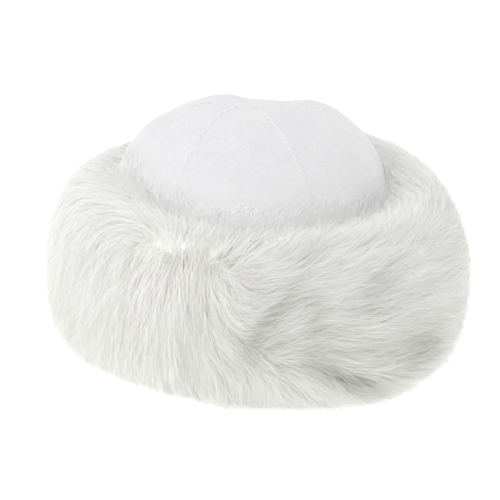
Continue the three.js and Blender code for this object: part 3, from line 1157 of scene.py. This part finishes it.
    def lay(self, cut: HairCut, rng: np.random.Generator) -> Wisps:
        """Lays one layer's wisps along the comb, and pulls each one towards its tuft.

        Args:
            cut: The layer's cut.
            rng: The source of its scatter.

        Returns:
            The wisps. Each faces the light mostly as the form does, with its hollows and rounded tufts,
            because a thick soft pile takes light as one surface.
        """
        tuft_az, tuft_level = self.roots(self.tufts, np.random.default_rng(self.seed))
        noise = np.random.default_rng(self.seed + 1)
        tuft_turn = self.tuft_turn * noise.standard_normal(self.tufts)
        tuft_lift = self.tuft_lift * noise.standard_normal(self.tufts)
        tuft_tint = noise.standard_normal(self.tufts)
        azimuth, level = self.roots(cut.wisps, rng)
        place, tuft_place = self.form.face(azimuth, level), self.form.face(tuft_az, tuft_level)
        tuft = ((place[:, None, :] - tuft_place[None]) ** 2).sum(-1).argmin(1)
        ruffle = self.comb.ruffle(azimuth, level)
        turn = ruffle * (tuft_turn[tuft] + self.wisp_turn * rng.standard_normal(cut.wisps))
        vary = (1 + self.length_scatter * rng.standard_normal(cut.wisps)).clip(*self.length_limits)
        length = cut.length * at_level(self.length_over, level) * vary

        path = self.paths(azimuth, level, turn, length)
        az, lv = path[..., 0], path[..., 1]
        front = from_front(az)
        along, rise = self.form.tangents(az, lv)
        normal = unit(np.cross(along, rise))
        face = self.form.face(az, lv)
        lean = unit(np.gradient(face, axis=1))
        tuft_turn = tuft_turn * self.comb.ruffle(tuft_az, tuft_level)
        tuft_path = self.paths(tuft_az, tuft_level, tuft_turn, np.full(self.tufts, cut.length))
        pull = self.form.face(tuft_path[..., 0], tuft_path[..., 1])[tuft] - face
        for way in (lean, normal):
            pull -= (pull * way).sum(-1, keepdims=True) * way
        reach = np.linalg.norm(pull, axis=-1, keepdims=True)
        pull *= np.minimum(1, self.longest_pull / np.maximum(reach, 1e-6))
        slope = self.slope_facing * self.form.hollow_slope(front, lv, along, rise)
        lit = unit(normal + slope - (self.tuft_round / self.longest_pull * ruffle[:, None, None]) * pull)

        share = np.linspace(0, 1, self.path_steps + 1)
        face = face + (self.tuft_pull * ruffle[:, None] * (share**1.6)[None])[..., None] * pull
        dip = self.form.hollow(front, lv)
        guide = face + normal * (self.form.proud(az, lv) - dip)[..., None]
        side = unit(np.cross(normal, lean))
        lift = cut.lift + ruffle * (tuft_lift[tuft] + cut.lift_scatter * rng.standard_normal(cut.wisps))
        lift = lift * at_level(self.lift_over, level)
        depth = cut.root_depth * (self.calm_depth + (1 - self.calm_depth) * ruffle)
        depth = depth * at_level(self.depth_over, level)
        return Wisps(level, ruffle, length, lift, depth, tuft_tint[tuft], guide, side, normal, lit, dip)

    def heights(self, share: np.ndarray, depth: np.ndarray, lift: np.ndarray) -> np.ndarray:
        """Height over the face along a hair, from its root to its tip: -depth (1 - t)^2.4 + lift t^1.3."""
        return -depth * (1 - share) ** 2.4 + lift * share**1.3

    def clear_of_crown(self, points: np.ndarray) -> np.ndarray:
        """Moves points out of the crown and above the floor.

        Args:
            points: (..., 3) points.

        Returns:
            The points, moved straight out to the crown's wall or up to the floor where they lie past it.
        """
        azimuth = np.degrees(np.arctan2(points[..., 0], -points[..., 1]))
        radius = np.hypot(points[..., 0], points[..., 1])
        wall = self.form.crown.wall(azimuth, points[..., 2]) + self.crown_margin
        grown = np.where(points[..., 2] < self.crown_top, np.maximum(radius, wall), radius)
        out = points.copy()
        out[..., :2] *= (grown / np.maximum(radius, 1e-6))[..., None]
        out[..., 2] = np.maximum(out[..., 2], self.floor_margin)
        return out

    def tints(
        self,
        level: np.ndarray,
        tuft: np.ndarray,
        stray: np.ndarray,
        dip: np.ndarray,
        rng: np.random.Generator,
    ) -> np.ndarray:
        """The hairs' tints: painted shade low down and in the hollows, painted light high up, and deeper on
        stray hairs.

        Args:
            level: Of each hair's root.
            tuft: Each hair's tuft's own share of tint, about 0.
            stray: How far each hair strays from the pile.
            dip: (n, joints + 1) depths of the hollows.
            rng: The source of their scatter.

        Returns:
            (n, joints + 1) tints from 0 to 1.
        """
        # Painted shade low down and painted light high up, by the root's level
        shades = -self.low_shade, -self.upper_low_shade * self.low_shade
        low = tuple(zip(self.low_levels, shades))
        tint = self.middle_tint + self.tuft_tint * tuft + self.hair_tint * rng.standard_normal(len(level))
        tint = tint + at_level((*low, *self.high_painted_light), level)
        tint = tint - self.stray_shade * np.clip(stray / self.full_stray, 0, 1)
        # Painted shade in the hollows, by their depth
        shade = self.dip_shade * np.clip(dip / self.full_dip, 0, 1)
        tint = np.clip(tint, *self.tint_limits)[:, None] - shade
        return np.clip(tint, self.darkest_tint, self.tint_limits[1])

    def grow(self, layer: Layer, rng: np.random.Generator) -> tuple[np.ndarray, ...]:
        """Grows one layer's hairs in its wisps.

        Args:
            layer: Which layer.
            rng: The source of its scatter.

        Returns:
            The hairs' middle lines (n, joints + 1, 3), the sideways vectors of their strips, of half their
            width, the way they face to the light, and their tints. A hair's width goes as (1 - t^2.2)^0.75.
        """
        cut = self.cuts[layer]
        wisps = self.lay(cut, rng)
        hairs = cut.wisps * cut.hairs
        owner = np.repeat(np.arange(cut.wisps), cut.hairs)
        calm = np.clip(1 - wisps.ruffle, 0, 1)[owner]
        level = wisps.level[owner]
        joint = np.linspace(0, 1, cut.joints + 1)
        late = self.ruffled_stagger + (1 - self.ruffled_stagger) * calm
        start = rng.uniform(0, 1, hairs) * self.stagger * late
        reach = rng.uniform(at_level(self.shortest_over, level), 1.0) * (1 - self.stagger)
        spot = (start[:, None] + joint[None] * reach[:, None]) * self.path_steps
        low = np.minimum(np.floor(spot).astype(int), self.path_steps - 1)
        part = (spot - low)[..., None]
        rows = owner[:, None]
        middle = wisps.guide[rows, low] * (1 - part) + wisps.guide[rows, low + 1] * part
        across, up = wisps.side[rows, low], wisps.normal[rows, low]

        wide = self.ruffled_spread + (1 - self.ruffled_spread) * calm
        aside = rng.uniform(-1, 1, hairs) * cut.spread * wide
        unruly = wisps.ruffle * rng.uniform(*self.gather_scatter, cut.wisps)
        loose = 1 - (1 - cut.gather) * np.clip(unruly, 0, self.most_gathered)[owner]
        gathered = 1 + (loose[:, None] - 1) * joint[None] ** 1.3
        fan = cut.fan * (1 + calm) * rng.standard_normal(hairs) * wisps.length[owner]
        fan = fan[:, None] * joint[None]
        wave = joint[None] * rng.uniform(*self.wave_turns, hairs)[:, None]
        wave = self.wave_size * np.sin(wave + rng.uniform(0, self.wave_starts, hairs)[:, None])
        middle = middle + across * (aside[:, None] * gathered + fan + wave)[..., None]

        stray = np.minimum(cut.stray * rng.exponential(1.0, hairs), self.longest_stray)
        stray = stray * (1 - self.calm_strays * calm) if layer is Layer.PILE else stray
        stand = cut.stand * rng.standard_normal(hairs) + stray
        lift = wisps.lift[owner] + stand * at_level(self.stand_over, level)
        rise = self.heights(joint[None], wisps.depth[owner][:, None], lift[:, None])
        middle = self.clear_of_crown(middle + up * rise[..., None])
        ahead = unit(np.gradient(middle, axis=1))
        flat = unit(np.cross(up, ahead))
        roll = rng.uniform(-self.roll, self.roll, hairs)[:, None, None]
        strip = unit(np.cos(roll) * flat + np.sin(roll) * np.cross(ahead, flat))
        thick = cut.width * rng.uniform(*self.width_scatter, hairs) * at_level(self.width_over, level)
        thick = thick[:, None] * (1 - joint**2.2)[None] ** 0.75
        tint = self.tints(level, wisps.tint[owner], stray, wisps.dip[rows, low], rng)
        facing = unit(wisps.lit[rows, low] + self.own_facing * unit(np.cross(ahead, strip)))
        return middle, strip * (thick / 2)[..., None], facing, tint

    def strips(
        self, name: str, middle: np.ndarray, half: np.ndarray, facing: np.ndarray, tint: np.ndarray
    ) -> bpy.types.Object:
        """Makes strips of quads that end in a triangle at the tip, and maps tint across and growth up.

        Args:
            name: The piece's name.
            middle: (n, k + 1, 3) middle lines.
            half: (n, k + 1, 3) sideways vectors of half the width.
            facing: (n, k + 1, 3) normals.
            tint: (n, k + 1) tints from 0 to 1.

        Returns:
            The piece.
        """
        count, joints = middle.shape[0], middle.shape[1] - 1
        body = np.stack([middle[:, :-1] + half[:, :-1], middle[:, :-1] - half[:, :-1]], 2)
        points = np.concatenate([body.reshape(count, -1, 3), middle[:, -1:]], 1)
        stride = 2 * joints + 1
        start = (np.arange(count) * stride)[:, None, None]
        rung = 2 * np.arange(joints - 1)
        quads = np.stack([rung, rung + 1, rung + 3, rung + 2], 1)[None] + start
        tips = np.array([[2 * joints - 2, 2 * joints - 1, 2 * joints]])[None] + start
        made = make_mesh(name, points.reshape(-1, 3), [quads.reshape(-1, 4), tips.reshape(-1, 3)])

        half_wide, border = 0.006, 0.01
        way_up = np.concatenate([np.repeat(np.arange(joints) / joints, 2), [1.0]])
        way_up = np.broadcast_to(border + (1 - 2 * border) * way_up, (count, stride))
        aside = np.concatenate([np.tile([half_wide, -half_wide], joints), [0.0]])
        tints = np.concatenate([np.repeat(tint[:, :-1], 2, axis=1), tint[:, -1:]], 1)
        spots = np.stack([tints + aside, way_up], -1).reshape(-1, 2)
        corners = np.empty(len(made.data.loops), np.int32)
        made.data.loops.foreach_get("vertex_index", corners)
        layer = made.data.uv_layers.new(name=FurHair.map_name)
        layer.uv.foreach_set("vector", spots[corners].astype(np.float32).ravel())
        normals = np.concatenate([np.repeat(facing[:, :-1], 2, axis=1), facing[:, -1:]], 1)
        made.data.normals_split_custom_set_from_vertices(normals.reshape(-1, 3))
        return made

    def build(self) -> list[bpy.types.Object]:
        """Grows every layer and joins it side by side into a few pieces."""
        hair = FurHair().material()
        made = []
        rng = np.random.default_rng(self.seed + 2)
        side = 360 / len(self.sides)
        for layer in Layer:
            middle, half, facing, tint = self.grow(layer, rng)
            azimuth = np.degrees(np.arctan2(middle[:, 0, 0], -middle[:, 0, 1]))
            if layer is Layer.PILE:
                sector = np.floor(np.mod(azimuth + side / 2, 360) / side).astype(int)
                names = [f"fur_{layer.value}_{side_name}" for side_name in self.sides]
            else:
                sector, names = np.zeros(len(azimuth), int), [f"fur_{layer.value}"]
            for k, name in enumerate(names):
                mine = sector == k
                piece = self.strips(name, middle[mine], half[mine], facing[mine], tint[mine])
                piece.data.materials.append(hair)
                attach(piece, "root")
                faces = len(piece.data.polygons) * 2 - mine.sum()
                log.info("%s: %d hairs, %d triangles", name, mine.sum(), faces)
                made.append(piece)
        return made


@dataclass
class FurCuff:
    """The cuff folded up round the crown: a dense ground with its long pile on it."""

    form: FurForm
    pile: FurPile
    sectors: int = 180
    levels: int = 60
    sunk: float = 0.0015
    sunk_ruffled: float = 0.0055
    hollow_share: float = 2.0  # the ground's hollows to the pile's
    ground_levels: tuple[float, float] = (-0.98, 2.0)
    # Distances in level from the crown and from the foot over which the ground sinks to its full depth
    from_crown: tuple[float, float] = (0.0, 0.9)
    from_foot: tuple[float, float] = (-0.2, 0.4)
    tuck: float = 0.004  # of the back below the lap

    def ground(self) -> tuple[np.ndarray, list[np.ndarray]]:
        """The ground's closed ring: its face under the pile, its back on the crown, its lip and its foot.

        Returns:
            Points and faces of a grid that closes both ways round.
        """
        azimuth = np.arange(self.sectors) * 360 / self.sectors
        level = np.linspace(*self.ground_levels, self.levels)
        a, l = np.meshgrid(azimuth, level, indexing="ij")
        step = 0.02
        along = self.form.backing(a + 0.5, l) - self.form.backing(a - 0.5, l)
        rise = self.form.backing(a, np.minimum(l + step, 2.0))
        rise = rise - self.form.backing(a, np.maximum(l - step, -1.0))
        normal = unit(np.cross(along, rise))
        sunk = self.sunk + self.sunk_ruffled * self.pile.comb.ruffle(a, l)
        sunk = sunk * smooth_step(2.0 - l, *self.from_crown) * smooth_step(l + 1.0, *self.from_foot)
        dip = self.hollow_share * self.form.hollow(from_front(a), l)
        sunk = sunk + (dip - self.form.proud(a, l)) * (l < 1)
        face = self.form.backing(a, l) - normal * sunk[..., None]
        inner = self.form.crown.head.radius(azimuth, self.form.crown.cloth + self.form.clearance)
        bare = self.form.crown.head.radius(azimuth, 0.0)
        lap = self.form.column("lap", azimuth)
        back = [
            polar(azimuth, inner, lap - self.tuck),
            polar(azimuth, inner, np.full_like(azimuth, self.form.lip)),
            polar(azimuth, bare, np.full_like(azimuth, self.form.lip)),
            polar(azimuth, bare, np.zeros_like(azimuth)),
            polar(azimuth, np.full_like(azimuth, self.form.foot), np.zeros_like(azimuth)),
        ]
        ring = np.concatenate([face, np.stack(back, 1)], 1)
        ring[..., 2] = np.maximum(ring[..., 2], 0.0)
        count = ring.shape[1]
        at = lambda sector, k: (sector % self.sectors) * count + k % count
        return ring.reshape(-1, 3), [grid_faces(self.sectors, count, at)]

    def build(self) -> list[bpy.types.Object]:
        """Makes and dresses the ground and grows the pile."""
        ground = make_mesh("fur_ground", *self.ground())
        ground.data.materials.append(FurGround().material())
        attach(ground, "root")
        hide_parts("fur_cuff")
        log.info("fur_ground: %d faces", len(ground.data.polygons))
        return [ground, *self.pile.build()]


@dataclass(frozen=True)
class SoftLamp:
    """A square soft lamp: its place, its side in metres and its power in watts."""

    name: str
    place: tuple[float, float, float]
    side: float
    power: float

    def build(self, aim: tuple[float, float, float]) -> None:
        """Hangs the lamp and turns it to its aim."""
        data = bpy.data.lights.new(self.name, "AREA")
        data.shape, data.size, data.energy = "SQUARE", self.side, self.power
        lamp = bpy.data.objects.new(self.name, data)
        lamp.location = self.place
        lamp.rotation_euler = (Vector(aim) - Vector(self.place)).to_track_quat("-Z", "Y").to_euler()
        bpy.context.scene.collection.objects.link(lamp)


@dataclass
class Studio:
    """A plain white floor, soft light from the upper left, and the camera at the photograph's angle."""

    elevation: float = 22.0
    distance: float = 1.5
    aim_height: float = 0.064
    metres_a_pixel: float = 0.00069
    image_side: int = 500
    aim_pixel: tuple[float, float] = (256.0, 255.0)
    sensor: float = 36.0
    floor_drop: float = 0.0003
    floor_side: float = 12.0  # from the middle
    floor_glow: float = 0.55
    surround: float = 0.96
    lamp_aim: tuple[float, float, float] = (0, 0, 0.08)
    lamps: tuple[SoftLamp, ...] = (
        SoftLamp("key", (-1.5, -1.1, 1.9), 1.4, 13.0),
        SoftLamp("top", (-0.2, 0.3, 2.4), 1.6, 16.0),
    )
    # White fur passes light on many times
    soft_bounces: int = 10
    most_bounces: int = 14

    def camera(self) -> None:
        """Places the camera, with its lens from the scale at the aim and its shift from the aim's pixel."""
        data = bpy.data.cameras.new("camera")
        data.sensor_width = self.sensor
        data.lens = self.sensor * self.distance / (self.metres_a_pixel * self.image_side)
        half = self.image_side / 2
        data.shift_x = -(self.aim_pixel[0] - half) / self.image_side
        data.shift_y = (self.aim_pixel[1] - half) / self.image_side
        camera = bpy.data.objects.new("camera", data)
        turn = math.radians(self.elevation)
        back = Vector((0, -math.cos(turn), math.sin(turn)))
        camera.location = Vector((0, 0, self.aim_height)) + back * self.distance
        camera.rotation_euler = (-back).to_track_quat("-Z", "Y").to_euler()
        bpy.context.scene.collection.objects.link(camera)
        bpy.context.scene.camera = camera

    def floor(self) -> None:
        """A wide white floor, just under the foot."""
        corners = np.array([(-1, -1), (1, -1), (1, 1), (-1, 1)]) * self.floor_side
        points = np.concatenate([corners, np.full((4, 1), -self.floor_drop)], 1)
        floor = make_mesh("floor", points, [np.array([[0, 1, 2, 3]])], smooth=False)
        bench = NodeBench("white_floor")
        bench.sets(Base_Color=(0.95, 0.95, 0.95, 1), Roughness=0.9, Specular_IOR_Level=0.1)
        bench.sets(Emission_Color=(1, 1, 1, 1), Emission_Strength=self.floor_glow)
        floor.data.materials.append(bench.material)

    def light(self) -> None:
        """An even white surround, a key from the upper left and a weak one from above."""
        world = bpy.data.worlds.new("studio")
        world.use_nodes = True
        background = world.node_tree.nodes["Background"]
        background.inputs["Color"].default_value = (1, 1, 1, 1)
        background.inputs["Strength"].default_value = self.surround
        bpy.context.scene.world = world
        for lamp in self.lamps:
            lamp.build(self.lamp_aim)
        bpy.context.scene.view_settings.view_transform = "Standard"
        bpy.context.scene.cycles.diffuse_bounces = self.soft_bounces
        bpy.context.scene.cycles.max_bounces = self.most_bounces

    def build(self) -> None:
        """Sets up the floor, the lights and the camera."""
        self.camera()
        self.floor()
        self.light()


def main() -> None:
    """Builds the hat piece by piece and reports each one."""
    Studio().build()
    crown = Crown()
    crown.build()
    form = FurForm(crown)
    FurCuff(form, FurPile(form)).build()


if __name__ == "__main__":
    main()
